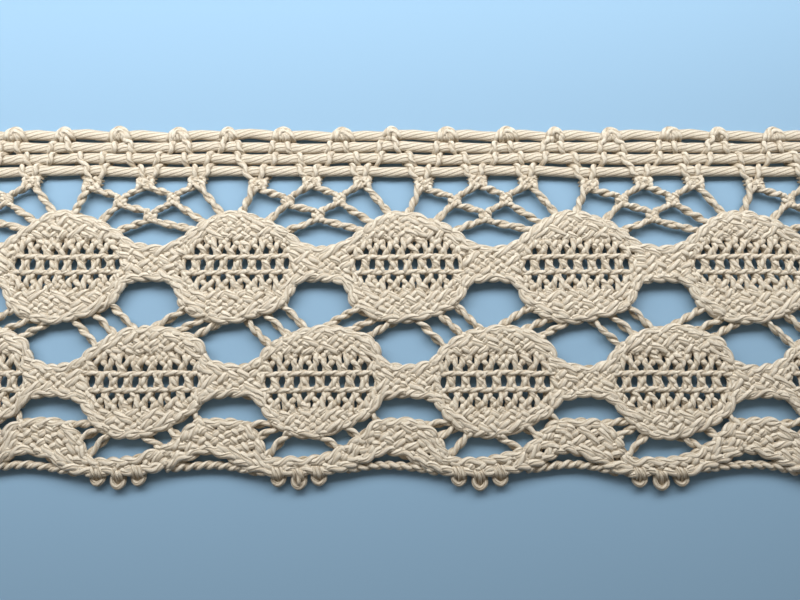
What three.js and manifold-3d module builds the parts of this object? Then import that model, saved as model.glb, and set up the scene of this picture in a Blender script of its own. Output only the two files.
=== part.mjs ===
// A cut length of cotton bobbin lace trim, lying flat: one piece of openwork from end to end.
// Millimetres, +Z up. X runs along the trim and +Y points to its straight heading.
// The origin is under the middle of the length and of the width.
import * as THREE from 'three';
import Module from 'manifold-3d';
import { mergeVertices } from 'three/addons/utils/BufferGeometryUtils.js';

const wasm = await Module();
wasm.setup();

// Driving dimensions
const repeatLength = 26;
const trimLength = 135;
const halfWidth = 27.8;

// Threads and bundles of threads, each with its width and the height of its top.
// Where two cross, the one that rises along +X passes over the one that falls.
const gimp = { width: 1.4, top: 1.45 };
const risingWorker = { width: 1.5, top: 1.95 };
const fallingWorker = { width: 1.5, top: 1.8 };
const risingPair = { width: 1.35, top: 1.65 };
const fallingPair = { width: 1.35, top: 1.5 };
const finePair = { width: 1.0, top: 1.2 };

// Closely worked areas: the height of their rim and of their middle
const clothTop = 1.75;
const clothEdge = 1.15;
const clothSlope = 1.2;
const bridgeSlope = 0.9;
const blockTop = 2.05;
const picotTop = 1.9;
const crossingTaper = 0.65;

// Heights of the four gimps of the heading
const gimpRows = [26.5, 24.55, 22.6, 20.45];

// Where the worker pairs turn round the first gimp, measured from the middle of an upper oval
const knotHeight = 26.9;
const knots = [-10.3, -2.6, 6.3];
const knotSize = { length: 2.2, width: 1.7 };

// Where two worker pairs cross below the last gimp, each between its knot and the next
const blocks = [
  { x: -6.9, y: 18.5 },
  { x: 2.5, y: 18.1 },
  { x: 11.0, y: 18.5 },
];
const blockSize = { length: 3.5, width: 2.3 };

// The twisted pairs of the trellis under the heading
const rowTwoLeft = { x: 7.3, y: 15.5 };
const rowTwoRight = { x: 15.4, y: 15.7 };
const rowThree = { x: 12.0, y: 13.1 };
const trellisNodes = [rowTwoLeft, rowTwoRight, rowThree];
const nodeSize = { length: 2.1, width: 1.7 };
const trellisPairs = [
  { from: blocks[0], to: { x: -3.6, y: 13.2 } },
  { from: blocks[0], to: { x: rowTwoRight.x - repeatLength, y: rowTwoRight.y } },
  { from: blocks[1], to: { x: -0.4, y: 13.0 } },
  { from: blocks[1], to: rowTwoLeft },
  { from: blocks[2], to: rowTwoLeft },
  { from: blocks[2], to: rowTwoRight },
  { from: rowTwoLeft, to: { x: 4.2, y: 11.8 } },
  { from: rowTwoLeft, to: rowThree },
  { from: rowTwoRight, to: rowThree },
  { from: rowTwoRight, to: { x: 20.0, y: 12.2 } },
  { from: rowThree, to: { x: 7.2, y: 10.5 } },
  { from: rowThree, to: { x: 18.4, y: 10.8 } },
];

// The upper ovals and the braided bridges between them, measured from an oval's middle
const upperOval = [
  { x: -9.6, y: 2.6 },
  { x: -8.4, y: -1.3 },
  { x: -5.8, y: -3.4 },
  { x: 0.0, y: -4.2 },
  { x: 5.2, y: -2.8 },
  { x: 7.8, y: -1.2 },
  { x: 9.5, y: 2.4 },
  { x: 9.4, y: 8.4 },
  { x: 4.7, y: 12.6 },
  { x: -1.0, y: 13.9 },
  { x: -4.6, y: 13.0 },
  { x: -9.3, y: 8.6 },
];

// The lower ovals lie half a repeat along
const lowerShift = repeatLength / 2;
const lowerOval = [
  { x: -9.8, y: -15.4 },
  { x: -6.3, y: -19.4 },
  { x: -3.2, y: -20.8 },
  { x: 1.4, y: -20.9 },
  { x: 7.0, y: -18.2 },
  { x: 9.7, y: -15.3 },
  { x: 9.7, y: -9.9 },
  { x: 8.6, y: -6.3 },
  { x: 5.6, y: -4.8 },
  { x: 1.0, y: -4.2 },
  { x: -4.6, y: -5.4 },
  { x: -9.4, y: -9.6 },
];

// A bridge fills the gap between two ovals, which overlap its ends
const bridgeLength = 9.4;
const upperBridge = { bottom: 2.5, top: 8.5 };
const lowerBridge = { bottom: -15.3, top: -9.8 };

// Twisted pairs from the upper ovals to the lower ones, measured from a lower oval's middle
const linkPairs = [
  { from: { x: 5.9, y: -1.5 }, to: { x: 0.8, y: -4.4 } },
  { from: { x: 9.3, y: -2.9 }, to: { x: 4.4, y: -5.0 } },
  { from: { x: 10.6, y: -4.1 }, to: { x: 7.0, y: -6.1 } },
  { from: { x: -5.9, y: -1.2 }, to: { x: -1.9, y: -5.2 } },
  { from: { x: -8.3, y: -2.6 }, to: { x: -4.7, y: -6.0 } },
  { from: { x: -10.9, y: -3.9 }, to: { x: -7.2, y: -7.6 } },
];

// The trail that runs along the scalloped edge, from the middle of one scallop to the next
const trail = [
  { x: -7.3, y: -24.3 },
  { x: -1.2, y: -24.2 },
  { x: 4.6, y: -22.0 },
  { x: 7.7, y: -18.5 },
  { x: 11.2, y: -18.1 },
  { x: 15.2, y: -18.5 },
  { x: 18.5, y: -22.6 },
  { x: 19.0, y: -25.8 },
  { x: 15.6, y: -25.3 },
  { x: 12.2, y: -23.5 },
  { x: 9.6, y: -23.1 },
  { x: 5.0, y: -25.1 },
  { x: 1.8, y: -26.2 },
  { x: -7.3, y: -26.3 },
];
const trailPairs = [
  { from: { x: -6.6, y: -18.6 }, to: { x: -10.9, y: -19.0 } },
  { from: { x: -5.9, y: -19.4 }, to: { x: -9.9, y: -21.5 } },
  { from: { x: -4.2, y: -20.2 }, to: { x: -7.4, y: -23.6 } },
  { from: { x: 0.4, y: -20.6 }, to: { x: 4.8, y: -23.2 } },
  { from: { x: 4.2, y: -19.4 }, to: { x: 7.2, y: -21.6 } },
  { from: { x: 7.6, y: -17.4 }, to: { x: 9.2, y: -19.6 } },
];
const edgeCord = [
  { x: 4.2, y: -24.8 },
  { x: 11.0, y: -24.9 },
  { x: 16.6, y: -26.0 },
];

// Small loops along the bottom of each scallop: their middle and how far down they reach
const picots = [
  { x: -5.7, reach: -27.3 },
  { x: -2.6, reach: -27.8 },
  { x: 0.2, reach: -27.0 },
];
const picotSize = { length: 2.3, width: 2.4 };

// Faceting
const cordSides = 6;
const crossingSides = 4;
const picotSides = 6;

// How far every foot reaches below the ground before it is trimmed flat
const footDepth = 0.05;

// Turns a closed three.js geometry into a solid that can be joined and cut
function solidFrom(geometry) {
  const bare = geometry.index ? geometry.toNonIndexed() : geometry.clone();
  bare.deleteAttribute('normal');
  bare.deleteAttribute('uv');
  const merged = mergeVertices(bare, 1e-5);
  return new wasm.Manifold(new wasm.Mesh({
    numProp: 3,
    vertProperties: new Float32Array(merged.attributes.position.array),
    triVerts: new Uint32Array(merged.index.array),
  }));
}

// A point of the repeat's own plan, taken to its place along the trim
function placed(point, along) {
  return { x: point.x + along, y: point.y };
}

// A cord between two points, widest where it lies on the ground
function cord(from, to, size) {
  const run = Math.hypot(to.x - from.x, to.y - from.y);
  const geometry = new THREE.CylinderGeometry(1, 1, run, cordSides);
  geometry.rotateY(Math.PI / cordSides);
  geometry.scale(size.width / 2, 1, size.top / Math.cos(Math.PI / cordSides));
  geometry.rotateZ(Math.atan2(to.y - from.y, to.x - from.x) - Math.PI / 2);
  geometry.translate((from.x + to.x) / 2, (from.y + to.y) / 2, -footDepth);
  return solidFrom(geometry);
}

// A low pad over any outline, its rim upright at the foot and sloping to the top
function pad(points, edge, top, slope) {
  const outline = new THREE.Shape(points.map((p) => new THREE.Vector2(p.x, p.y)));
  const geometry = new THREE.ExtrudeGeometry(outline, {
    depth: edge,
    bevelThickness: top - edge,
    bevelSize: slope,
    bevelOffset: -slope,
    bevelSegments: 1,
  });
  return solidFrom(geometry);
}

// A small tapering pad such as a crossing of two pairs
function crossing(centre, size, top, sides) {
  const reach = 0.5 / Math.cos(Math.PI / sides);
  const tall = top + footDepth;
  const geometry = new THREE.CylinderGeometry(reach * crossingTaper, reach, tall, sides);
  geometry.rotateY(Math.PI / sides);
  geometry.rotateX(Math.PI / 2);
  geometry.scale(size.length, size.width, 1);
  geometry.translate(centre.x, centre.y, tall / 2 - footDepth);
  return solidFrom(geometry);
}

function joined(solids) {
  return wasm.Manifold.union(solids);
}

// The heading of one repeat: worker pairs laced up and down across the gimps
function heading(along) {
  const solids = [];
  knots.forEach((x, index) => {
    const knot = placed({ x, y: knotHeight }, along);
    const before = blocks[(index + blocks.length - 1) % blocks.length];
    const wrap = index === 0 ? -repeatLength : 0;
    solids.push(crossing(knot, knotSize, blockTop, crossingSides));
    solids.push(cord(placed(before, along + wrap), knot, risingWorker));
    solids.push(cord(knot, placed(blocks[index], along), fallingWorker));
  });
  blocks.forEach((block) => {
    solids.push(crossing(placed(block, along), blockSize, blockTop, crossingSides));
  });
  return solids;
}

// The gimps, straight from one end of the trim to the other
function gimps() {
  return gimpRows.map((y) => cord({ x: -trimLength, y }, { x: trimLength, y }, gimp));
}

// Twisted pairs from one point of the plan to another
function twistedPairs(pairs, along) {
  return pairs.map(({ from, to }) => {
    const rises = (to.x - from.x) * (to.y - from.y) > 0;
    return cord(placed(from, along), placed(to, along), rises ? risingPair : fallingPair);
  });
}

// The diamond trellis of one repeat
function trellis(along) {
  const nodes = trellisNodes.map((node) => {
    return crossing(placed(node, along), nodeSize, clothTop, crossingSides);
  });
  return nodes.concat(twistedPairs(trellisPairs, along));
}

// One oval of close work with its bridge to the next
function ovalAndBridge(along, outline, bridge) {
  const cloth = pad(outline.map((p) => placed(p, along)), clothEdge, clothTop, clothSlope);
  const start = repeatLength / 2 - bridgeLength / 2;
  const end = repeatLength / 2 + bridgeLength / 2;
  const corners = [
    { x: start, y: bridge.bottom },
    { x: end, y: bridge.bottom },
    { x: end, y: bridge.top },
    { x: start, y: bridge.top },
  ];
  const braid = pad(corners.map((p) => placed(p, along)), clothEdge, blockTop, bridgeSlope);
  return [cloth, braid];
}

// The links below the upper ovals and the trail, cord and picots of the scalloped edge
function lowerEdge(along) {
  const solids = twistedPairs(linkPairs.concat(trailPairs), along);
  solids.push(pad(trail.map((p) => placed(p, along)), clothEdge, clothTop, bridgeSlope));
  for (let index = 1; index < edgeCord.length; index += 1) {
    solids.push(cord(placed(edgeCord[index - 1], along), placed(edgeCord[index], along), finePair));
  }
  picots.forEach((picot) => {
    const centre = placed({ x: picot.x, y: picot.reach + picotSize.width / 2 }, along);
    solids.push(crossing(centre, picotSize, picotTop, picotSides));
  });
  return solids;
}

// Everything above the ground and between the two cut ends
function trimmingBlock() {
  const geometry = new THREE.BoxGeometry(trimLength, 4 * halfWidth, 2 * blockTop);
  geometry.translate(0, 0, blockTop);
  return solidFrom(geometry);
}

function buildLace() {
  const solids = gimps();
  const reach = Math.ceil(trimLength / 2 / repeatLength);
  for (let index = -reach; index <= reach; index += 1) {
    const along = index * repeatLength;
    solids.push(...heading(along), ...trellis(along));
    solids.push(...ovalAndBridge(along, upperOval, upperBridge));
    solids.push(...ovalAndBridge(along + lowerShift, lowerOval, lowerBridge));
    solids.push(...lowerEdge(along + lowerShift));
  }
  return joined(solids).intersect(trimmingBlock());
}

// Back from a solid to a three.js geometry with flat facets
function geometryFrom(solid) {
  const mesh = solid.getMesh();
  const geometry = new THREE.BufferGeometry();
  geometry.setAttribute('position', new THREE.BufferAttribute(mesh.vertProperties, 3));
  geometry.setIndex(new THREE.BufferAttribute(mesh.triVerts, 1));
  geometry.computeVertexNormals();
  return geometry;
}

const cotton = new THREE.MeshStandardMaterial({ color: 0xd9ccb0, roughness: 0.85, metalness: 0 });
const lace = new THREE.Mesh(geometryFrom(buildLace()), cotton);
lace.name = 'lace_trim';

const part = new THREE.Group();
part.add(lace);

export default part;
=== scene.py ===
"""A cut length of cotton bobbin lace trim, worked thread by thread.

Every thread is first drawn as a line on the plan of the lace, in millimetres. The script finds
where the lines cross, lets each thread pass over and under in turn, and sweeps a plied section
along it.
"""
import math

import bpy
import numpy as np
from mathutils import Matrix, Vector


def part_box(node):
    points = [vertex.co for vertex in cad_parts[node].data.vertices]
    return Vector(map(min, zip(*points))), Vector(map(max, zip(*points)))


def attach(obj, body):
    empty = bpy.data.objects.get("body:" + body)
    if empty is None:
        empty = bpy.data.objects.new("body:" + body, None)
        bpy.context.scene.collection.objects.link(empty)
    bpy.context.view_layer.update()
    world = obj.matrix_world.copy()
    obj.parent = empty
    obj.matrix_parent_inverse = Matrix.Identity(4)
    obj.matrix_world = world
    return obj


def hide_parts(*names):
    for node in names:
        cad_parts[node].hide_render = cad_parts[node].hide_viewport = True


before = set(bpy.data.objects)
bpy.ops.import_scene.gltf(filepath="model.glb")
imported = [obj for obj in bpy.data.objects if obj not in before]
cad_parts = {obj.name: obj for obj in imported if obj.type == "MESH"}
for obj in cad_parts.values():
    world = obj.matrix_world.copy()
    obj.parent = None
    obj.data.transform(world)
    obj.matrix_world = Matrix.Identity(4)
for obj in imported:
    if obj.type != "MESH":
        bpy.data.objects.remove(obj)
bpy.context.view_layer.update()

MM = 0.001

# The plan of the lace, as in the solid it stands for
REPEAT = 26.0
PITCH = REPEAT / 12.0
HALF_LENGTH = (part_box("lace_trim")[1][0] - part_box("lace_trim")[0][0]) / MM / 2.0
REPEATS = range(-4, 5)
CUT_BACK = 0.15        # from the end of the trim to the middle of a thread's last ring

# Sections: width, thickness, strands that show, depth of the grooves, length over which one
# strand takes the place of the next, how far the thread gives way where it crosses another,
# points round it, how much fuller it is where it lies on top
GIMP = dict(width=1.70, thick=1.00, lobes=8, groove=0.00, lay=1.9, give=0.30, ring=18, bead=0.00)
WORKER = dict(width=0.80, thick=0.64, lobes=2, groove=0.09, lay=1.8, give=1.0, ring=10, bead=0.10)
PAIR = dict(width=0.76, thick=0.66, lobes=2, groove=0.07, lay=2.0, give=1.0, ring=10, bead=0.06)
CLOTH = dict(width=0.98, thick=0.80, lobes=4, groove=0.03, lay=2.7, give=1.0, ring=10, bead=0.21)
EYELET = dict(width=0.76, thick=0.60, lobes=2, groove=0.10, lay=1.5, give=1.0, ring=8, bead=0.12)
TRAIL = dict(width=0.98, thick=0.76, lobes=4, groove=0.03, lay=2.6, give=1.0, ring=10, bead=0.20)
RIM = dict(width=0.92, thick=0.78, lobes=4, groove=0.03, lay=2.7, give=0.8, ring=10, bead=0.13)
WEFT = dict(width=0.82, thick=0.60, lobes=2, groove=0.13, lay=1.7, give=0.9, ring=8, bead=0.00)
CORD = dict(width=0.80, thick=0.66, lobes=2, groove=0.10, lay=1.6, give=1.0, ring=8, bead=0.00)
LOOP = dict(width=0.80, thick=0.70, lobes=5, groove=0.00, lay=2.4, give=1.0, ring=10, bead=0.05)
WRAP = dict(width=0.66, thick=0.56, lobes=3, groove=0.06, lay=1.9, give=1.0, ring=8, bead=0.05)

# How far apart the rings of a thread lie
SPACING = 0.31
CLOTH_SPACING = 0.34
EYELET_SPACING = 0.26
KNOT_SPACING = 0.24
LOOP_SPACING = 0.22
WRAP_SPACING = 0.20
BINDING_SPACING = 0.18

# Heights that the threads' middles rest at
GIMP_MIDDLE = 0.72
CLOTH_MIDDLE = 0.95
HEADER_MIDDLE = 0.95
WEFT_MIDDLE = 0.94
PAIR_MIDDLE = 0.80
CORD_MIDDLE = 0.70
BLOCK_MIDDLE = 1.05
TUCK_HEIGHT = 0.42

# Heading: the four gimps, the knots over the first, the blocks and the nodes of the trellis
GIMP_ROWS = [26.28, 24.41, 22.47, 20.35]
KNOTS = {"a": (-10.3, 26.6), "b": (-2.6, 26.6), "c": (6.3, 26.6)}
KNOT_SIZES = {"a": 1.0, "b": 0.80, "c": 1.0}
KNOT_OUTER = [(-1.75, -1.40), (-1.40, -0.60), (-1.00, 0.20), (-0.45, 0.78), (0.05, 0.92),
              (0.62, 0.70), (1.12, 0.10), (1.50, -0.65), (1.80, -1.40)]
KNOT_INNER = [(-1.00, -1.45), (-0.78, -0.60), (-0.40, 0.05), (0.05, 0.28), (0.50, 0.02),
              (0.86, -0.60), (1.05, -1.45)]
# where the bindings of a knot cross its lower and its upper half
KNOT_BINDINGS = ((-0.50, -0.62), (0.05, -0.05), (0.58, 0.55))
# how far the first gimp stands off its row, from the first knot of a repeat
FIRST_GIMP = ([0, 1.4, 3.4, 6.4, 7.7, 9.1, 11.3, 15.2, 16.6, 18.0, 20.2, 24.4, 26.0],
              [0, 0.22, 0.30, -0.04, -0.06, 0.24, 0.34, -0.06, -0.08, 0.20, 0.36, -0.02, 0])
LEG_GAP = 0.56
LEG_TOP = (0.9, 25.3)  # beside the middle of the knot
BLOCKS = {"block0": (-6.9, 18.5), "block1": (2.5, 18.1), "block2": (11.0, 18.5)}
# height over the block's middle, half length and hidden ends of its bindings
BLOCK_BINDINGS = ((0.66, 1.65), (0.06, 1.55), (-0.54, 1.30))
BLOCK_REACH = 0.5
TRELLIS = {"left": (7.3, 15.4), "right": (15.4, 15.6), "low": (12.0, 12.9)}
HEADER_TWIST = 2.1
HEADER_LANDING = 1.2

# Outlines of the ovals and bridges, from the middle of one bridge to the middle of the next
UPPER_MIDDLE = 5.12
LOWER_MIDDLE = -12.73
UPPER_BRIDGE = 5.45
LOWER_BRIDGE = -12.6
UPPER_TOP = [(-13, 8.0), (-11.2, 8.3), (-9.6, 8.9), (-8.2, 10.0), (-6.4, 11.4), (-4.7, 12.6),
             (-2.8, 13.5), (-1.0, 13.9), (0.6, 13.7), (2.2, 13.2), (4.6, 12.3), (6.6, 11.1),
             (8.5, 9.7), (9.7, 8.7), (11.2, 8.3), (13, 8.0)]
UPPER_LOW = [(-13, 2.4), (-11.2, 2.3), (-9.7, 1.8), (-8.9, 0.2), (-8.3, -1.3), (-6.4, -2.9),
             (-4.6, -3.6), (-2.6, -4.1), (0, -4.1), (2.6, -3.4), (5.2, -2.6), (7.5, -1.3),
             (8.7, 0.4), (9.5, 1.9), (11.2, 2.3), (13, 2.4)]
LOWER_TOP = [(-13, -10.2), (-11.2, -9.95), (-9.4, -9.3), (-8.6, -8.2), (-7.7, -7.3),
             (-6.4, -6.3), (-4.9, -5.4), (-3.3, -4.8), (-1.8, -4.5), (0, -4.25), (1.4, -4.2),
             (3.2, -4.4), (4.7, -4.95), (6.6, -5.6), (8.2, -6.6), (9.0, -8.2), (9.5, -9.4),
             (11.2, -9.95), (13, -10.2)]
LOWER_LOW = [(-13, -15.0), (-11.2, -15.2), (-9.4, -15.7), (-8.3, -17.0), (-7.4, -18.3),
             (-6.3, -19.3), (-5.2, -20.2), (-3.9, -20.8), (-1.5, -21.1), (0.9, -20.9),
             (3.4, -20.0), (5.95, -18.7), (7.45, -17.8), (8.6, -16.6), (9.4, -15.6),
             (11.2, -15.2), (13, -15.0)]
RIM_INSET = 0.5

# Cloth of the ovals and bridges
CLOTH_STEP = REPEAT / 34.0
CLOTH_ROW = 0.545
BRIDGE_ROW = 0.58
CLOTH_ROWS = 18
CLOTH_JITTER = 0.13

# Eyelets of the ovals: rows from the middle outwards, half the way that threads keep apart at
# the holes of a row, how many pitches the holes reach from the middle of the oval, and how many
# of the smaller holes are there
EYELET_STEP = PITCH / 4.0
EYELET_ROWS = [0, 1.12, 2.15, 2.78, 3.40, 4.00, 4.60, 5.20]
EYELET_JITTER = 0.05
HOLES = {0: 0.82, 2: 0.74, 4: 0.56, 6: 0.48}
HOLE_REACH = {0: 4.1, 2: 4.1, 4: 3.6, 6: 2.6}
HOLE_SHARE = {4: 0.85, 6: 0.6}
EYELETS_HIGH, EYELETS_LONG = 4.75, 9.5    # half the zone of the eyelet ground
OPENING_HIGH, OPENING_LONG = 3.75, 8.7    # half the zone that the cloth leaves free
WEFT_ROWS = (1.20, -1.26)
WEFT_HALF = 9.2

# Pairs between the ovals and between the lower ovals and the trail, from the middle of a lower
# oval, and how far their ends run on below the edges
LINK_PAIRS = [((5.9, -1.5), (0.8, -4.4)), ((9.3, -2.9), (4.4, -5.0)),
              ((10.6, -4.1), (7.0, -6.1)), ((-5.9, -1.2), (-1.9, -5.2)),
              ((-8.3, -2.6), (-4.7, -6.0)), ((-10.9, -3.9), (-7.2, -7.6))]
TRAIL_PAIRS = [((-6.6, -18.6), (-10.9, -19.0)), ((-5.9, -19.4), (-9.9, -21.5)),
               ((-4.2, -20.2), (-7.4, -23.6)), ((0.4, -20.6), (4.8, -23.2)),
               ((4.2, -19.4), (7.2, -21.6)), ((7.6, -17.4), (9.2, -19.6))]
PAIR_TWIST = 2.0
PAIR_GAP = 0.29
PAIR_LANDING = 1.1

# The trail along the scalloped edge, its thin cord and its picots
LOWER_OFFSET = 13.0
TRAIL_STEP = 0.90
TRAIL_ROW = 0.62
TRAIL_EDGE = 0.45
TRAIL_TOP = [(-7.3, -23.3), (-6.4, -23.8), (-4, -23.8), (-1.2, -23.6), (2, -22.8), (4.6, -21.6),
             (6.3, -20.0), (7.7, -18.7), (9.2, -18.2), (11.2, -18.1), (13.2, -18.1),
             (15.2, -18.6), (16.8, -19.9), (17.8, -21.3), (18.7, -23.3)]
TRAIL_LOW = [(-7.3, -26.2), (-4, -26.1), (-1, -26.0), (1.8, -25.8), (5.0, -25.0), (7.4, -24.0),
             (9.6, -23.0), (12.2, -23.5), (15.6, -25.2), (18.7, -26.2)]
EDGE_CORD = [(4.0, -25.3), (6.8, -24.9), (10.0, -24.65), (13.2, -24.9), (17.4, -25.8)]
CORD_STEP = 0.15
CORD_TWIST = 1.6
CORD_GAP = 0.27
PICOTS = [(-5.7, -27.95), (-2.7, -28.4), (0.2, -27.8)]
PICOT_LOOP = [(-0.6, 3.0), (-0.80, 2.0), (-0.74, 1.05), (0, 0.48), (0.74, 1.05), (0.80, 2.0),
              (0.6, 3.0)]
PICOT_BINDINGS = ((-0.56, 0.80), (-0.02, 0.45), (0.52, 0.75))

# How the threads lie at the crossings
SQUEEZE = 0.94       # threads that cross press into each other a little
WIDE = 1.2           # a thread this wide is crossed on a level stretch
TUCK_CLEAR = 0.45    # crossings this near to a tucked end are left out
SAME_PLACE = 0.12    # crossings this close share one height
FREE_STRETCH = 2.2   # a longer way between crossings sinks to the resting height
FREE_EASE = 0.9
CELL = 0.7           # of the grid that the crossings are looked up in

rng = np.random.default_rng(26)


def resample(line, spacing=SPACING):
    """The line sampled anew, as evenly as the spacing fits into its length."""
    run = np.r_[0, np.cumsum(np.linalg.norm(np.diff(line, axis=0), axis=1))]
    count = max(int(round(run[-1] / spacing)), 2)
    at = np.linspace(0, run[-1], count + 1)
    return np.column_stack([np.interp(at, run, line[:, k]) for k in range(line.shape[1])])


def smooth_line(points, spacing=SPACING):
    """A spline through the points, sampled evenly."""
    pts = np.asarray(points, float)
    keep = np.r_[True, np.linalg.norm(np.diff(pts, axis=0), axis=1) > 1e-4]
    pts = pts[keep]
    ext = np.vstack([2 * pts[0] - pts[1], pts, 2 * pts[-1] - pts[-2]])
    p0, p1, p2, p3 = ext[:-3], ext[1:-2], ext[2:-1], ext[3:]

    def knot(a, b):
        return np.maximum(np.linalg.norm(b - a, axis=1, keepdims=True), 1e-6) ** 0.5

    d1, d2, d3 = knot(p0, p1), knot(p1, p2), knot(p2, p3)
    m1 = d2 * ((p1 - p0) / d1 - (p2 - p0) / (d1 + d2) + (p2 - p1) / d2)
    m2 = d2 * ((p2 - p1) / d2 - (p3 - p1) / (d2 + d3) + (p3 - p2) / d3)
    t = np.linspace(0, 1, 10, endpoint=False)[None, :, None]
    fine = ((2 * t**3 - 3 * t**2 + 1) * p1[:, None] + (t**3 - 2 * t**2 + t) * m1[:, None]
            + (-2 * t**3 + 3 * t**2) * p2[:, None] + (t**3 - t**2) * m2[:, None])
    fine = np.vstack([fine.reshape(-1, pts.shape[1]), pts[-1:]])
    return resample(fine, spacing)


def wander(xy):
    """The small unevenness of hand-worked rows."""
    x, y = xy[:, 0], xy[:, 1]
    dx = 0.09 * np.sin(x / 4.1 + y / 3.3 + 0.7) + 0.06 * np.sin(x / 1.9 - y / 2.7 + 2.1)
    dy = 0.08 * np.sin(x / 3.7 - y / 4.9 + 1.3) + 0.05 * np.sin(x / 1.6 + y / 2.2 + 4.0)
    return xy + np.column_stack([dx, dy])


def shifted(points, dx):
    return [(x + dx, y) for x, y in points]


def normals(line):
    """The direction to the left of the line at each of its points."""
    along = np.gradient(line, axis=0)
    along /= np.linalg.norm(along, axis=1, keepdims=True)
    return np.column_stack([-along[:, 1], along[:, 0]])


def stretches(inside):
    """Where each run of true values starts and stops."""
    edges = np.flatnonzero(np.diff(np.r_[0, inside.astype(int), 0]))
    return zip(edges[::2], edges[1::2])


threads = []


def add_thread(line, section, piece, middle=PAIR_MIDDLE, tuck=(False, False), taper=None,
               reach=1.1, rank=0):
    """Lists one evenly sampled thread, cut off at the two ends of the trim.

    A tucked end lies under what crosses it within its reach, and a thread of a higher rank lies
    over every thread of a lower one.
    """
    swell = np.ones(len(line)) if taper is None else taper(line[:, 0], line[:, 1])
    line = wander(line)
    for start, stop in stretches(np.abs(line[:, 0]) <= HALF_LENGTH - CUT_BACK):
        if stop - start < 4:
            continue
        threads.append(dict(
            line=line[start:stop], section=section, piece=piece, middle=middle,
            swell=swell[start:stop], reach=reach, rank=rank,
            tuck=(tuck[0] and start == 0, tuck[1] and stop == len(line)),
            tone=rng.uniform(0, 1), phase=rng.uniform(0, 1)))


def reversal(centre, column_gap, row_gap):
    """The way of the four threads that trade places at a node, from its upper side."""
    cx, cy = centre
    columns = [cx + (k - 1.5) * column_gap for k in range(4)]
    order = [0, 1, 2, 3]
    ways = {k: [(columns[k], cy + 2 * row_gap)] for k in order}
    for row in range(4):
        swaps = [(0, 1), (2, 3)] if row % 2 == 0 else [(1, 2)]
        for a, b in swaps:
            order[a], order[b] = order[b], order[a]
        y = cy + (1 - row) * row_gap
        for place, thread in enumerate(order):
            ways[thread].append((columns[place], y))
    return ways


def block_ways(name, dx):
    cx, cy = BLOCKS[name]
    return reversal((cx + dx, cy), 0.70, 0.46)


def trellis_ways(name, dx):
    cx, cy = TRELLIS[name]
    return reversal((cx + dx, cy), 0.46, 0.40)


class Pair:
    """Two threads that run together from node to node."""

    def __init__(self, ports):
        self.lines = [[np.asarray(p, float)] for p in ports]

    def leg(self, ports, twists):
        """On to the ports, which lie in the same order as the threads would without a twist."""
        a = np.array([line[-1] for line in self.lines])
        b = np.asarray(ports, float)
        ca, cb = a.mean(0), b.mean(0)
        span = np.linalg.norm(cb - ca)
        t = np.linspace(0, 1, max(int(span / 0.2), 6) + 1)[1:, None]
        along = (cb - ca) / span
        side = np.array([-along[1], along[0]])
        da, db = (a[0] - a[1]) / 2, (b[0] - b[1]) / 2
        sign = 1.0 if (da + db) @ side >= 0 else -1.0
        bump = np.clip(np.minimum(t, 1 - t) * span / 1.0, 0, 1)
        bump = bump * bump * (3 - 2 * bump)
        base = (1 - bump) * (da * (1 - t) + db * t) + bump * sign * PAIR_GAP * side
        offset = np.cos(math.pi * twists * t) * base
        centre = ca + (cb - ca) * t
        self.lines[0].extend(centre + offset)
        self.lines[1].extend(centre - offset)

    def follow(self, ways):
        for line, way in zip(self.lines, ways):
            line.extend(np.asarray(p, float) for p in way)

    def end(self):
        return np.mean([line[-1] for line in self.lines], axis=0)


def half_twists(a, b):
    return max(int(round(math.dist(a, b) / HEADER_TWIST)), 1)


def further(a, b, reach):
    """The point past b on the way from a."""
    a, b = np.asarray(a, float), np.asarray(b, float)
    return b + reach * (b - a) / np.linalg.norm(b - a)


def heading_leg(low, high):
    """The two threads between a block and a knot, side by side, straight across each gimp."""
    left, right = [], []
    for y in GIMP_ROWS[:0:-1]:
        x = np.interp(y, [low[1], high[1]], [low[0], high[0]])
        left += [(x - LEG_GAP, y - 0.5), (x - LEG_GAP, y + 0.5)]
        right += [(x + LEG_GAP, y - 0.5), (x + LEG_GAP, y + 0.5)]
    return left, right


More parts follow.
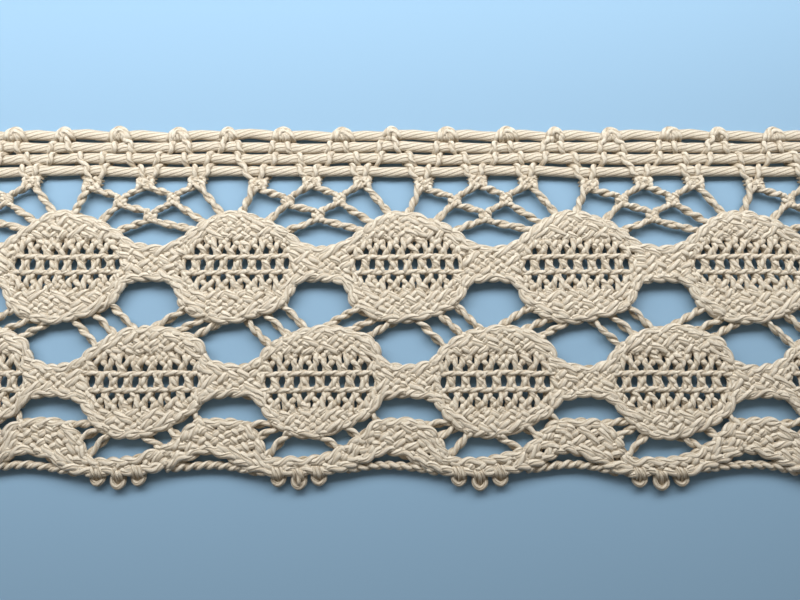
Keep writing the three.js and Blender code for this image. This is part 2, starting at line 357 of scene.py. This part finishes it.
def header_pair(start, nodes_up, knot, nodes_down, stop):
    """One pair: from the ovals up through nodes to its knot, and down through others."""
    order = [0, 1]

    def onward(ports, twists):
        # the threads swap names after an odd number of half twists
        pair.leg([ports[order[0]], ports[order[1]]], twists)
        if twists % 2 == 1:
            order.reverse()

    first = np.mean([nodes_up[0][3][-1], nodes_up[0][2][-1]], axis=0)
    last = further(first, start, HEADER_LANDING)
    pair = Pair([(last[0] - 0.25, last[1] + 0.12), (last[0] + 0.25, last[1] - 0.12)])
    for ways in nodes_up:
        ports = [ways[3][-1], ways[2][-1]]
        onward(ports, half_twists(last, np.mean(ports, axis=0)))
        pair.follow([ways[(3, 2)[turn]][::-1] for turn in order])
        last = np.mean([ways[2][0], ways[3][0]], axis=0)

    kx, ky = knot
    outer = [(kx - 1.05, ky - 1.2), (kx - 1.0, ky - 0.1), (kx - 0.42, ky + 0.55),
             (kx + 0.42, ky + 0.55), (kx + 1.0, ky - 0.1), (kx + 1.05, ky - 1.2)]
    inner = [(kx - 0.5, ky - 1.3), (kx - 0.42, ky - 0.4), (kx, ky + 0.02),
             (kx + 0.42, ky - 0.4), (kx + 0.5, ky - 1.3)]
    left, right = heading_leg(last, (kx - LEG_TOP[0], LEG_TOP[1]))
    pair.follow([right + inner if turn == 0 else left + outer for turn in order])
    order.reverse()
    top = np.mean([nodes_down[0][1][0], nodes_down[0][0][0]], axis=0)
    left, right = heading_leg(top, (kx + LEG_TOP[0], LEG_TOP[1]))
    pair.follow([right[::-1] if turn == 0 else left[::-1] for turn in order])

    for index, ways in enumerate(nodes_down):
        ports = [ways[1][0], ways[0][0]]
        if index > 0:
            onward(ports, half_twists(pair.end(), np.mean(ports, axis=0)))
        pair.follow([ways[(1, 0)[turn]] for turn in order])
    last = pair.end()
    stop = further(last, stop, HEADER_LANDING)
    onward([(stop[0] + 0.25, stop[1] + 0.12), (stop[0] - 0.25, stop[1] - 0.12)],
           half_twists(last, stop))
    for line in pair.lines:
        add_thread(smooth_line(line), WORKER, "heading_pairs", HEADER_MIDDLE, tuck=(True, True))


def knot_turns(name, dx):
    """The two nested turns of a knot and its bindings, over the first gimp."""
    kx, ky = KNOTS[name]
    size = KNOT_SIZES[name]

    def turn(points, section, spacing, middle):
        line = [(kx + dx + size * x, ky + size * y) for x, y in points]
        add_thread(smooth_line(line, spacing), section, "heading_pairs", middle,
                   tuck=(True, True), rank=1)

    turn(KNOT_OUTER, WORKER, KNOT_SPACING, 1.15)
    turn(KNOT_INNER, WORKER, KNOT_SPACING, 1.25)
    for low, high in KNOT_BINDINGS:
        turn([(low * 0.8, -1.50), (low * 0.9, -0.85), (high, -0.05), (high * 0.9, 0.62)],
             WRAP, WRAP_SPACING, 1.30)


def heading():
    """The gimps, the knots and blocks, and the three pairs of each repeat."""
    for row, y in enumerate(GIMP_ROWS):
        x = np.arange(-HALF_LENGTH - 1, HALF_LENGTH + 1, 0.5)
        lift = 0.0
        if row == 0:
            lift = np.interp((x - KNOTS["a"][0]) % REPEAT, FIRST_GIMP[0], FIRST_GIMP[1])
        y_line = y + lift + 0.10 * np.sin(x / 5.3 + row * 1.7)
        add_thread(smooth_line(np.column_stack([x, y_line])), GIMP, "gimps", GIMP_MIDDLE)
    for k in REPEATS:
        dx = k * REPEAT
        for cx, cy in BLOCKS.values():
            for dy, half in BLOCK_BINDINGS:
                x = np.linspace(cx + dx - half, cx + dx + half, 9)
                y = cy + dy + 0.05 * np.sin(x * 3.0)
                add_thread(smooth_line(np.column_stack([x, y])), WRAP, "heading_pairs",
                           BLOCK_MIDDLE, tuck=(True, True), reach=BLOCK_REACH)
        for name in KNOTS:
            knot_turns(name, dx)
        knots = dict(zip(KNOTS, shifted(KNOTS.values(), dx)))
        header_pair(
            (-21.8 + dx, 11.8),
            [trellis_ways("left", dx - REPEAT), block_ways("block2", dx - REPEAT)],
            knots["a"],
            [block_ways("block0", dx)],
            (-2.7 + dx, 13.2))
        header_pair(
            (-18.8 + dx, 10.5),
            [trellis_ways("low", dx - REPEAT), trellis_ways("right", dx - REPEAT),
             block_ways("block0", dx)],
            knots["b"],
            [block_ways("block1", dx), trellis_ways("left", dx), trellis_ways("low", dx)],
            (18.4 + dx, 10.8))
        header_pair(
            (0.2 + dx, 13.2),
            [block_ways("block1", dx)],
            knots["c"],
            [block_ways("block2", dx), trellis_ways("right", dx)],
            (20.0 + dx, 12.2))


def height_of(outline, x, centre_offset):
    """The outline's Y at each x, for outlines that repeat along the trim."""
    pts = np.asarray(outline, float)
    lo = pts[0, 0]
    local = (x - centre_offset - lo) % REPEAT + lo
    return np.interp(local, pts[:, 0], pts[:, 1])


def lattice(piece, section, count, rows, node, clip, jitter, hole=None, spacing=SPACING,
            taper=None):
    """Threads that slant both ways through rows of crossings and turn back at holes."""
    noise = {}

    def place(column, row):
        x, y = node(column, row)
        key = (column, row)
        if key not in noise:
            noise[key] = rng.normal(0, jitter, 2).clip(-2 * jitter, 2 * jitter)
        return x + noise[key][0], y + 0.6 * noise[key][1]

    for start in range(-count, count + 1):
        if (start + rows) % 2:
            continue
        for slant in (1, -1):
            column = start
            points = []
            for row in range(-rows, rows + 1):
                x, y = place(column, row)
                gap = hole(column, row) if hole else 0.0
                if gap:
                    points.append((x - slant * gap, y))
                    slant = -slant
                else:
                    points.append((x, y))
                column += slant
            line = smooth_line(points, 0.07)
            for a, b in stretches(clip(line[:, 0], line[:, 1])):
                if b - a < 16:
                    continue
                add_thread(resample(line[a:b], spacing), section, piece, CLOTH_MIDDLE,
                           (True, True), taper)


def band(name, offset, centre, bridge_centre, top, low):
    """A row of ovals and the bridges between them."""
    shift = int(round(offset / EYELET_STEP))
    small_holes = {}

    def local(x):
        return (x - offset + REPEAT / 2) % REPEAT - REPEAT / 2

    def within(x, y):
        return ((y < height_of(top, x, offset) - RIM_INSET)
                & (y > height_of(low, x, offset) + RIM_INSET))

    def cloth_node(column, row):
        x = column * CLOTH_STEP
        blend = min(max((abs(local(x)) - 8.6) / 2.2, 0), 1)
        blend = blend * blend * (3 - 2 * blend)
        return x, ((1 - blend) * (centre + CLOTH_ROW * row)
                   + blend * (bridge_centre + BRIDGE_ROW * row))

    def cloth_taper(x, y):
        dx = np.abs(local(x))
        dy = np.abs(y - centre)
        open_part = np.clip((5.6 - dy) / 1.8, 0, 1) * np.clip((9.0 - dx) / 1.5, 0, 1)
        return 1.0 - 0.26 * open_part

    def cloth_clip(x, y):
        dy = np.abs(y - centre)
        open_part = (dy < OPENING_HIGH) & (np.abs(local(x)) < OPENING_LONG - 0.5 * dy)
        return within(x, y) & ~open_part

    def eyelet_node(column, row):
        side = 1 if row >= 0 else -1
        return column * EYELET_STEP, centre + side * EYELET_ROWS[abs(row)]

    def hole(column, row):
        """Half the way between the threads that turn back here, or 0 where they cross."""
        row_out = abs(row)
        if row_out not in HOLES:
            return 0.0
        wanted = 2 if row_out % 4 == 0 else 0
        if (column - shift) % 4 != wanted:
            return 0.0
        if abs(local(column * EYELET_STEP)) > HOLE_REACH[row_out] * PITCH:
            return 0.0
        if row_out in HOLE_SHARE:
            key = (column, row)
            if key not in small_holes:
                small_holes[key] = rng.uniform() < HOLE_SHARE[row_out]
            if not small_holes[key]:
                return 0.0
        return HOLES[row_out]

    def eyelet_taper(x, y):
        return 1 + 0.14 * np.clip((np.abs(y - centre) - 2.3) / 0.8, 0, 1)

    def eyelet_clip(x, y):
        return (within(x, y) & (np.abs(y - centre) < EYELETS_HIGH)
                & (np.abs(local(x)) < EYELETS_LONG))

    def weft_taper(x, y):
        return 1 + 0.16 * np.cos(4 * math.pi * x / PITCH)

    lattice("cloth_" + name, CLOTH, int(HALF_LENGTH / CLOTH_STEP) + 20, CLOTH_ROWS, cloth_node,
            cloth_clip, CLOTH_JITTER, spacing=CLOTH_SPACING, taper=cloth_taper)
    lattice("eyelets_" + name, EYELET, int(HALF_LENGTH / EYELET_STEP) + 8,
            len(EYELET_ROWS) - 1, eyelet_node, eyelet_clip, EYELET_JITTER, hole,
            EYELET_SPACING, eyelet_taper)
    for k in REPEATS:
        cx = offset + k * REPEAT
        for dy in WEFT_ROWS:
            x = np.arange(-WEFT_HALF, WEFT_HALF + 0.01, 0.4)
            y = centre + dy + 0.07 * np.sin(x * 1.9 + k) + 0.05 * np.sin(x * 4.3 + 2 * k)
            add_thread(smooth_line(np.column_stack([x + cx, y])), WEFT, "eyelets_" + name,
                       WEFT_MIDDLE, tuck=(True, True), taper=weft_taper, rank=1)
    rim("cloth_" + name, top, offset, -1)
    rim("cloth_" + name, low, offset, 1)


def rim(piece, outline, offset, side, inset=0.66, half_twist=2.2, gap=0.32):
    """Two threads that wind slowly about each other along an edge of the cloth."""
    pts = []
    for k in REPEATS:
        pts.extend(shifted(outline[:-1], offset + k * REPEAT))
    line = smooth_line(pts, 0.2)
    normal = normals(line)
    centre = line + side * inset * normal
    run = np.r_[0, np.cumsum(np.linalg.norm(np.diff(centre, axis=0), axis=1))]
    phase = rng.uniform(0, 2 * math.pi)
    wave = np.cos(math.pi * run / half_twist + phase + 0.6 * np.sin(run / 5.0))
    for sign in (1, -1):
        add_thread(resample(centre + sign * (gap * wave)[:, None] * normal), RIM, piece,
                   CLOTH_MIDDLE)


def twisted_pair(start, end):
    """A free pair between two edges, its ends hidden below them."""
    a, b = np.asarray(start, float), np.asarray(end, float)
    span = np.linalg.norm(b - a)
    along = (b - a) / span
    side = np.array([-along[1], along[0]])
    a = a - PAIR_LANDING * along
    b = b + PAIR_LANDING * along
    span += 2 * PAIR_LANDING
    t = np.linspace(0, 1, max(int(span / 0.2), 6) + 1)[:, None]
    bow = rng.uniform(-0.12, 0.12) * np.sin(math.pi * t)
    wave = np.cos(math.pi * span * t / PAIR_TWIST + rng.uniform(0, math.pi))
    centre = a + (b - a) * t + bow * side
    for sign in (1, -1):
        add_thread(resample(centre + sign * PAIR_GAP * wave * side), PAIR, "links",
                   tuck=(True, True))


def pairs_between(ends, dx):
    for start, end in ends:
        twisted_pair((start[0] + dx, start[1]), (end[0] + dx, end[1]))


def trail():
    """The plaited band of the scalloped edge, its pairs to the ovals, its cord and picots."""

    def node(column, row):
        x = column * TRAIL_STEP
        top = height_of(TRAIL_TOP, np.array([x]), LOWER_OFFSET)[0]
        low = height_of(TRAIL_LOW, np.array([x]), LOWER_OFFSET)[0]
        return x, (top + low) / 2 + row * TRAIL_ROW

    def clip(x, y):
        return ((y < height_of(TRAIL_TOP, x, LOWER_OFFSET) - TRAIL_EDGE)
                & (y > height_of(TRAIL_LOW, x, LOWER_OFFSET) + TRAIL_EDGE))

    lattice("trail", TRAIL, int(HALF_LENGTH / TRAIL_STEP) + 8, 5, node, clip, 0.14)
    rim("trail", TRAIL_TOP, LOWER_OFFSET, -1, inset=0.5, half_twist=2.0)
    rim("trail", TRAIL_LOW, LOWER_OFFSET, 1, inset=0.5, half_twist=2.0)
    for k in REPEATS:
        dx = LOWER_OFFSET + k * REPEAT
        pairs_between(TRAIL_PAIRS, dx)
        line = smooth_line(shifted(EDGE_CORD, dx), CORD_STEP)
        normal = normals(line)
        run = np.arange(len(line)) * CORD_STEP
        wave = np.cos(math.pi * run / CORD_TWIST)
        for sign in (1, -1):
            add_thread(resample(line + sign * CORD_GAP * wave[:, None] * normal, LOOP_SPACING),
                       CORD, "trail", CORD_MIDDLE, tuck=(True, True))
        for x, y in PICOTS:
            picot(x + dx, y)


def picot(x, tip):
    """A loop of thread below the edge, bound with three turns."""
    loop = [(x + px, tip + py) for px, py in PICOT_LOOP]
    add_thread(smooth_line(loop, LOOP_SPACING), LOOP, "trail", 0.80, tuck=(True, True))
    for shift, low in PICOT_BINDINGS:
        binding = [(x + shift - 0.42, tip + 3.3), (x + shift - 0.16, tip + 2.7),
                   (x + shift, tip + 2.0), (x + shift + 0.16, tip + low)]
        add_thread(smooth_line(binding, BINDING_SPACING), WRAP, "trail", 1.30,
                   tuck=(True, True), rank=1)


def find_crossings():
    """Every place where two threads cross on the plan: (thread, distance along it) of both."""
    owner, index, p, q, s0, length = [], [], [], [], [], []
    for i, thread in enumerate(threads):
        line = thread["line"]
        seg = np.diff(line, axis=0)
        size = np.linalg.norm(seg, axis=1)
        run = np.r_[0, np.cumsum(size)]
        thread["run"] = run
        owner.append(np.full(len(seg), i))
        index.append(np.arange(len(seg)))
        p.append(line[:-1])
        q.append(line[1:])
        s0.append(run[:-1])
        length.append(size)
    owner, index, s0, length = map(np.concatenate, (owner, index, s0, length))
    p, q = np.vstack(p), np.vstack(q)
    low = np.floor(np.minimum(p, q) / CELL).astype(int)
    high = np.floor(np.maximum(p, q) / CELL).astype(int)
    cells = {}
    for n in range(len(p)):
        for cx in range(low[n, 0], high[n, 0] + 1):
            for cy in range(low[n, 1], high[n, 1] + 1):
                cells.setdefault((cx, cy), []).append(n)
    first, second = [], []
    for members in cells.values():
        if len(members) < 2:
            continue
        m = np.array(members)
        a, b = np.triu_indices(len(m), 1)
        first.append(m[a])
        second.append(m[b])
    first, second = np.concatenate(first), np.concatenate(second)
    pairs = np.unique(np.column_stack([np.minimum(first, second), np.maximum(first, second)]),
                      axis=0)
    a, b = pairs[:, 0], pairs[:, 1]
    near = (owner[a] == owner[b]) & (np.abs(index[a] - index[b]) < 4)
    a, b = a[~near], b[~near]
    r, s = q[a] - p[a], q[b] - p[b]
    w = p[b] - p[a]
    cross = r[:, 0] * s[:, 1] - r[:, 1] * s[:, 0]
    cross = np.where(np.abs(cross) < 1e-9, 1e-9, cross)
    t = (w[:, 0] * s[:, 1] - w[:, 1] * s[:, 0]) / cross
    u = (w[:, 0] * r[:, 1] - w[:, 1] * r[:, 0]) / cross
    hit = (t >= 0) & (t < 1) & (u >= 0) & (u < 1)
    a, b, t, u = a[hit], b[hit], t[hit], u[hit]
    return [(owner[i], s0[i] + ti * length[i], owner[j], s0[j] + ui * length[j])
            for i, j, ti, ui in zip(a, b, t, u)]


def assign_over_under(crossings):
    """For each crossing, whether its first thread is the upper one."""
    on_thread = [[] for _ in threads]
    for c, (i, si, j, sj) in enumerate(crossings):
        on_thread[i].append((si, c, 0))
        on_thread[j].append((sj, c, 1))
    # neighbours along a thread want opposite answers, and the closest pairs are settled first
    links = []
    for found in on_thread:
        found.sort()
        for (s1, c1, k1), (s2, c2, k2) in zip(found, found[1:]):
            if c1 != c2:
                links.append((s2 - s1, c1, c2, 1 if k1 == k2 else 0))
    links.sort()
    parent = list(range(len(crossings)))
    parity = [0] * len(crossings)

    def root(c):
        flip = 0
        path = []
        while parent[c] != c:
            path.append(c)
            flip ^= parity[c]
            c = parent[c]
        total = flip
        for node in path:
            own = parity[node]
            parent[node], parity[node] = c, total
            total ^= own
        return c, flip

    for _, c1, c2, differ in links:
        r1, f1 = root(c1)
        r2, f2 = root(c2)
        if r1 != r2:
            parent[r1] = r2
            parity[r1] = f1 ^ f2 ^ differ
    over = [root(c)[1] == 0 for c in range(len(crossings))]
    for c, (i, si, j, sj) in enumerate(crossings):
        first_end = end_is_near(threads[i], si)
        second_end = end_is_near(threads[j], sj)
        if threads[i]["rank"] != threads[j]["rank"]:
            over[c] = threads[i]["rank"] > threads[j]["rank"]
        elif first_end != second_end:
            over[c] = second_end
    return over, on_thread


def end_is_near(thread, s):
    total, reach = thread["run"][-1], thread["reach"]
    return (thread["tuck"][0] and s < reach) or (thread["tuck"][1] and total - s < reach)


def thickness_at(thread, s):
    return thread["section"]["thick"] * float(np.interp(s, thread["run"], thread["swell"]))


def lift_threads():
    """Gives every thread its heights."""
    crossings = find_crossings()
    over, on_thread = assign_over_under(crossings)
    for i, thread in enumerate(threads):
        run = thread["run"]
        total = run[-1]
        mid = thread["middle"]
        keys = []
        for s, c, k in on_thread[i]:
            other, other_s = (threads[crossings[c][2 - 2 * k]], crossings[c][3 - 2 * k])
            up = over[c] if k == 0 else not over[c]
            apart = (thickness_at(thread, s) + thickness_at(other, other_s)) / 2 * SQUEEZE
            mine, theirs = thread["section"]["give"], other["section"]["give"]
            level = (mid * theirs + other["middle"] * mine) / (mine + theirs)
            level += (1 if up else -1) * apart * mine / (mine + theirs)
            width = other["section"]["width"]
            steps = (-width / 4, width / 4) if width > WIDE else (0.0,)
            keys.extend((s + step, level) for step in steps)
        keys.sort()
        if thread["tuck"][0]:
            keys = [(0.0, TUCK_HEIGHT)] + [key for key in keys if key[0] > TUCK_CLEAR]
        if thread["tuck"][1]:
            keys = [key for key in keys if key[0] < total - TUCK_CLEAR] + [(total, TUCK_HEIGHT)]
        if not keys:
            keys = [(0.0, mid)]
        at, z = [], []
        for s, level in keys:
            if at and s - at[-1] < SAME_PLACE:
                z[-1] = (z[-1] + level) / 2
                continue
            if at and s - at[-1] > FREE_STRETCH:
                at.extend([at[-1] + FREE_EASE, s - FREE_EASE])
                z.extend([mid, mid])
            at.append(s)
            z.append(level)
        thread["z"] = soft_steps(np.array(at), np.array(z), run)


def soft_steps(at, z, run):
    """Heights eased between the keys, without overshoot."""
    if len(at) == 1:
        return np.full(len(run), z[0])
    place = np.clip(np.searchsorted(at, run, side="right") - 1, 0, len(at) - 2)
    a, b = at[place], at[place + 1]
    t = np.clip((run - a) / (b - a), 0, 1)
    t = 0.5 - 0.5 * np.cos(math.pi * t)
    return z[place] * (1 - t) + z[place + 1] * t


def sweep(thread):
    """The thread's surface: points, quads and the two coordinates of the yarn pattern."""
    section = thread["section"]
    ring, lobes = section["ring"], section["lobes"]
    line = np.column_stack([thread["line"], thread["z"]])
    tangent = np.gradient(line, axis=0)
    tangent /= np.linalg.norm(tangent, axis=1, keepdims=True)
    across = np.column_stack([-tangent[:, 1], tangent[:, 0], np.zeros(len(line))])
    across /= np.maximum(np.linalg.norm(across, axis=1, keepdims=True), 1e-6)
    up = np.cross(tangent, across)
    run = thread["run"]
    angle = np.arange(ring) * 2 * math.pi / ring
    turn = 2 * math.pi * (run / section["lay"] + thread["phase"])
    wave = 0.5 + 0.5 * np.cos(lobes * angle[None, :] + turn[:, None])
    groove = 1 - section["groove"] * wave
    uneven = 0.05 * np.sin(run / 0.9 + 6 * thread["phase"]) * np.sin(run / 2.3 + 3 * thread["tone"])
    # rounded off at the ends
    ends = np.ones(len(run))
    for from_end in (run, run[-1] - run):
        ends = np.minimum(ends, np.sqrt(np.clip(from_end / 0.28 + 0.12, 0, 1)))
    # pressed slimmer where it dives, full where it comes up
    bead = 1 + section["bead"] * np.clip((thread["z"] - thread["middle"]) / 0.32, -1, 1)
    scale = (1 + uneven) * ends * thread["swell"] * bead
    w = section["width"] / 2 * scale[:, None] * groove * np.cos(angle)[None, :]
    h = section["thick"] / 2 * scale[:, None] * groove * np.sin(angle)[None, :]
    points = line[:, None, :] + w[..., None] * across[:, None, :] + h[..., None] * up[:, None, :]
    # nothing dips into the surface below
    points[..., 2] = np.maximum(points[..., 2], 0.01)

    rows = len(line)
    here = np.arange(ring)[None, :]
    first = np.arange(rows - 1)[:, None] * ring + here
    second = np.arange(rows - 1)[:, None] * ring + (here + 1) % ring
    quads = np.stack([first, second, second + ring, first + ring], axis=-1).reshape(-1, 4)
    u0 = np.broadcast_to(here * lobes / ring, first.shape)
    u1 = np.broadcast_to((here + 1) * lobes / ring, first.shape)
    v0 = np.broadcast_to(run[:-1, None] / section["lay"] + thread["phase"], first.shape)
    v1 = np.broadcast_to(run[1:, None] / section["lay"] + thread["phase"], first.shape)
    corners = [np.stack(corner, -1) for corner in ((u0, v0), (u1, v0), (u1, v1), (u0, v1))]
    return points.reshape(-1, 3), quads, np.stack(corners, axis=-2).reshape(-1, 2)


def build_piece(name, members, material):
    """One mesh of all the piece's threads, their ends closed."""
    coords, corners, starts, totals, uvs, tones, shade_rises = [], [], [], [], [], [], []
    base = 0
    loop_base = 0
    for thread in members:
        points, quads, uv = sweep(thread)
        ring = thread["section"]["ring"]
        coords.append(points)
        corners.append((quads + base).ravel())
        uvs.append(uv)
        starts.append(loop_base + np.arange(len(quads)) * 4)
        totals.append(np.full(len(quads), 4))
        loop_base += len(quads) * 4
        for cap in (np.arange(ring)[::-1], len(points) - ring + np.arange(ring)):
            corners.append(cap + base)
            uvs.append(np.tile(uv[0], (ring, 1)))
            starts.append(np.array([loop_base]))
            totals.append(np.array([ring]))
            loop_base += ring
        tones.append(np.full(len(points), thread["tone"]))
        # painted shade: how high each point lies over its thread's middle, for the darker colour of
        # its low parts
        shade_rises.append(np.clip((points[:, 2] - thread["middle"] + 0.25) / 0.75, 0, 1))
        base += len(points)
    coords = np.vstack(coords) * MM
    mesh = bpy.data.meshes.new(name)
    mesh.vertices.add(len(coords))
    mesh.vertices.foreach_set("co", coords.astype(np.float32).ravel())
    corners = np.concatenate(corners).astype(np.int32)
    mesh.loops.add(len(corners))
    mesh.loops.foreach_set("vertex_index", corners)
    starts = np.concatenate(starts).astype(np.int32)
    mesh.polygons.add(len(starts))
    mesh.polygons.foreach_set("loop_start", starts)
    mesh.polygons.foreach_set("loop_total", np.concatenate(totals).astype(np.int32))
    layer = mesh.uv_layers.new(name="yarn")
    layer.data.foreach_set("uv", np.vstack(uvs).astype(np.float32).ravel())
    for label, values in (("tone", tones), ("shade_rise", shade_rises)):
        attribute = mesh.attributes.new(label, "FLOAT", "POINT")
        attribute.data.foreach_set("value", np.concatenate(values).astype(np.float32))
    mesh.update(calc_edges=True)
    mesh.validate()
    mesh.polygons.foreach_set("use_smooth", np.ones(len(mesh.polygons), bool))
    obj = bpy.data.objects.new(name, mesh)
    bpy.context.scene.collection.objects.link(obj)
    mesh.materials.append(material)
    return obj


def cotton_material():
    """Ecru cotton: strands with painted shade in their grooves, painted shade where a thread lies
    low, fine fibres, a soft sheen.
    """
    material = bpy.data.materials.new("ecru_cotton")
    material.use_nodes = True
    nodes, link = material.node_tree.nodes, material.node_tree.links.new
    shader = nodes["Principled BSDF"]

    def feed(socket, value):
        if isinstance(value, (float, tuple)):
            socket.default_value = value
        else:
            link(value, socket)

    def maths(operation, *values):
        node = nodes.new("ShaderNodeMath")
        node.operation = operation
        for socket, value in zip(node.inputs, values):
            feed(socket, value)
        return node.outputs[0]

    def spread(value, low, high, kind="LINEAR"):
        node = nodes.new("ShaderNodeMapRange")
        node.inputs["From Min"].default_value = low
        node.inputs["From Max"].default_value = high
        node.interpolation_type = kind
        link(value, node.inputs["Value"])
        return node.outputs["Result"]

    def noise(vector, scale, detail):
        node = nodes.new("ShaderNodeTexNoise")
        node.inputs["Scale"].default_value = scale
        node.inputs["Detail"].default_value = detail
        link(vector, node.inputs["Vector"])
        return node.outputs["Fac"]

    def attribute(label):
        node = nodes.new("ShaderNodeAttribute")
        node.attribute_name = label
        return node.outputs["Fac"]

    def mix(first, second, factor, kind="MIX"):
        node = nodes.new("ShaderNodeMix")
        node.data_type = "RGBA"
        node.blend_type = kind
        feed(node.inputs["A"], first)
        feed(node.inputs["B"], second)
        feed(node.inputs["Factor"], factor)
        return node.outputs["Result"]

    uv = nodes.new("ShaderNodeUVMap")
    uv.uv_map = "yarn"
    split = nodes.new("ShaderNodeSeparateXYZ")
    link(uv.outputs["UV"], split.inputs[0])
    round_yarn, along_yarn = split.outputs[0], split.outputs[1]
    slant = maths("ADD", round_yarn, along_yarn)
    # the plies' relief, 0 in a groove and 1 on a crown; it drives the bump and the painted groove
    # shade
    ply_relief_and_groove_shade = spread(maths("COSINE", maths("MULTIPLY", slant, 2 * math.pi)), 1.0, 0.2, "SMOOTHSTEP")

    # fine fibres run along the strands, others in each thread
    stretch = nodes.new("ShaderNodeCombineXYZ")
    link(maths("MULTIPLY", slant, 7.0), stretch.inputs[0])
    link(maths("MULTIPLY", along_yarn, 9.0), stretch.inputs[1])
    link(maths("MULTIPLY", attribute("tone"), 37.0), stretch.inputs[2])
    fibre = noise(stretch.outputs[0], 1.0, 3.0)
    patch = noise(nodes.new("ShaderNodeNewGeometry").outputs["Position"], 420.0, 2.0)

    body = mix((0.82, 0.75, 0.63, 1), (0.94, 0.885, 0.78, 1), patch)
    # painted shade: the grooves between the plies are coloured darker and browner
    body = mix((0.64, 0.55, 0.43, 1), body, ply_relief_and_groove_shade)
    body = mix((0.70, 0.61, 0.48, 1), body, spread(fibre, 0.25, 0.6))
    # painted shade: darker and browner the lower it lies, as in the crevices under crossing threads
    shade = mix((0.56, 0.48, 0.37, 1), (1.0, 1.0, 1.0, 1), attribute("shade_rise"))
    link(mix(body, shade, 0.80, "MULTIPLY"), shader.inputs["Base Color"])
    shader.inputs["Roughness"].default_value = 0.62
    shader.inputs["Specular IOR Level"].default_value = 0.35
    shader.inputs["Sheen Weight"].default_value = 0.25
    shader.inputs["Sheen Roughness"].default_value = 0.45
    shader.inputs["Subsurface Weight"].default_value = 0.0

    bump = nodes.new("ShaderNodeBump")
    bump.inputs["Strength"].default_value = 1.0
    bump.inputs["Distance"].default_value = 0.00010
    link(maths("MULTIPLY_ADD", fibre, 0.35, ply_relief_and_groove_shade), bump.inputs["Height"])
    link(bump.outputs["Normal"], shader.inputs["Normal"])
    return material


heading()
band("upper", 0.0, UPPER_MIDDLE, UPPER_BRIDGE, UPPER_TOP, UPPER_LOW)
band("lower", LOWER_OFFSET, LOWER_MIDDLE, LOWER_BRIDGE, LOWER_TOP, LOWER_LOW)
for k in REPEATS:
    pairs_between(LINK_PAIRS, LOWER_OFFSET + k * REPEAT)
trail()
lift_threads()

cotton = cotton_material()
pieces = {}
for name in sorted({thread["piece"] for thread in threads}):
    pieces[name] = build_piece(name, [t for t in threads if t["piece"] == name], cotton)

for name, obj in pieces.items():
    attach(obj, "root")
    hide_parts("lace_trim")


def floor():
    """A plain pale floor."""
    size = 1.2
    mesh = bpy.data.meshes.new("floor")
    corners = [(-size, -size, 0), (size, -size, 0), (size, size, 0), (-size, size, 0)]
    mesh.from_pydata(corners, [], [(0, 1, 2, 3)])
    obj = bpy.data.objects.new("floor", mesh)
    bpy.context.scene.collection.objects.link(obj)
    material = bpy.data.materials.new("floor")
    material.use_nodes = True
    shader = material.node_tree.nodes["Principled BSDF"]
    shader.inputs["Base Color"].default_value = (0.30, 0.50, 0.72, 1)
    shader.inputs["Roughness"].default_value = 0.8
    mesh.materials.append(material)


def area_light(name, place, target, size, power, colour):
    data = bpy.data.lights.new(name, "AREA")
    data.shape = "RECTANGLE"
    data.size, data.size_y = size
    data.energy = power
    data.color = colour
    obj = bpy.data.objects.new(name, data)
    bpy.context.scene.collection.objects.link(obj)
    obj.location = place
    aim = Vector(target) - Vector(place)
    obj.rotation_euler = aim.to_track_quat("-Z", "Y").to_euler()


floor()
area_light("key", (-0.015, 0.090, 0.092), (-0.005, 0.01, 0), (0.36, 0.06), 0.385,
           (1.0, 0.985, 0.95))
area_light("fill", (0.15, -0.35, 0.6), (0, 0, 0), (0.6, 0.5), 0.13, (1.0, 0.87, 0.72))
world = bpy.data.worlds.new("world")
bpy.context.scene.world = world
world.use_nodes = True
world.node_tree.nodes["Background"].inputs["Color"].default_value = (1.0, 0.92, 0.82, 1)
world.node_tree.nodes["Background"].inputs["Strength"].default_value = 0.12
bpy.context.scene.view_settings.view_transform = "Standard"

camera_data = bpy.data.cameras.new("camera")
camera_data.lens = 31.18
camera_data.sensor_width = 36.0
camera_data.clip_start = 0.001
camera = bpy.data.objects.new("camera", camera_data)
bpy.context.scene.collection.objects.link(camera)
camera.location = (-1.14 * MM, -22.2 * MM, 103.5 * MM)
camera.rotation_euler = (math.radians(12.0), 0, 0)
bpy.context.scene.camera = camera
